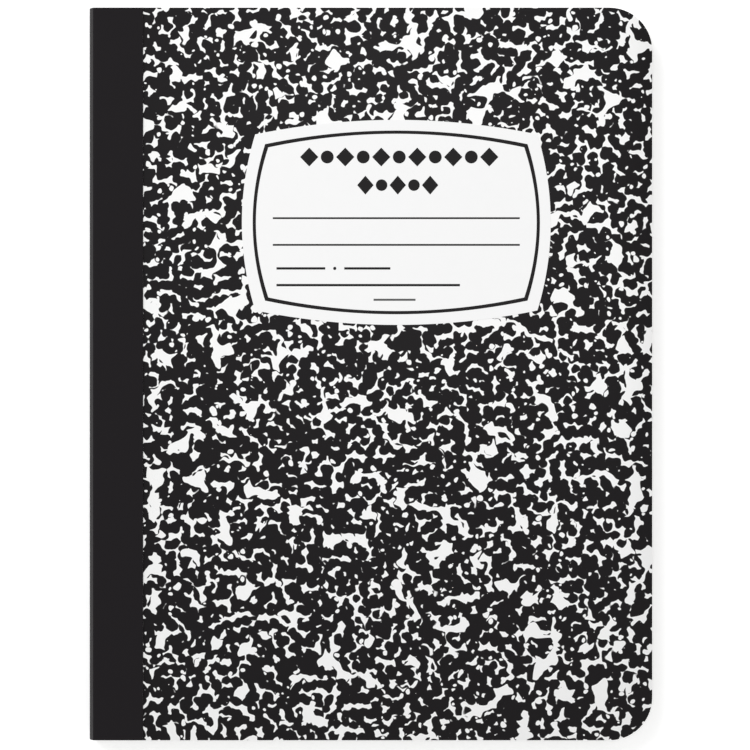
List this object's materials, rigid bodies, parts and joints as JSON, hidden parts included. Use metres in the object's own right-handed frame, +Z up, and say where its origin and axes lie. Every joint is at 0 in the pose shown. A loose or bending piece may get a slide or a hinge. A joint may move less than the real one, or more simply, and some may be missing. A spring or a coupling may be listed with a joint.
{
  "type": "composition notebook",
  "caption": "Sewn composition notebook with stiff marbled covers, a cloth-taped spine, rounded fore-edge corners and a barrel-shaped title label; both covers open flat.",
  "frame": {"origin": "on the surface the closed book lies on, under the middle of its length and width", "axes": "+X from the taped spine to the fore-edge, +Y from the tail to the head, +Z up out of the front cover"},
  "size_m": [0.1905, 0.2476, 0.011],
  "materials": {
    "leaves": "uncoated ruled paper",
    "lining": "uncoated paper",
    "cover_board": "board covered with marbled paper, low sheen",
    "tape": "coated binding cloth, low sheen",
    "label_paper": "printed paper, matt",
    "thread": "twisted cotton"
  },
  "bodies": {
    "book_block": {"page_block": "leaves", "lining_sheet": "lining", "spine_tape": "tape", "needle_thread": "thread", "bobbin_thread": "thread"},
    "front_cover": {"front_board": "cover_board", "label": "label_paper"},
    "back_cover": {"back_board": "cover_board"}
  },
  "joints": [
    {"name": "front_cover_hinge", "type": "hinge", "parent": "book_block", "child": "front_cover", "pos_m": [-0.094, 0, 0.00987], "axis": [0, -1, 0], "range_deg": [0, 180], "deforming": ["spine_tape", "lining_sheet"]},
    {"name": "back_cover_hinge", "type": "hinge", "parent": "book_block", "child": "back_cover", "pos_m": [-0.094, 0, 0.00117], "axis": [0, 1, 0], "range_deg": [0, 180], "deforming": ["spine_tape", "lining_sheet"]}
  ]
}
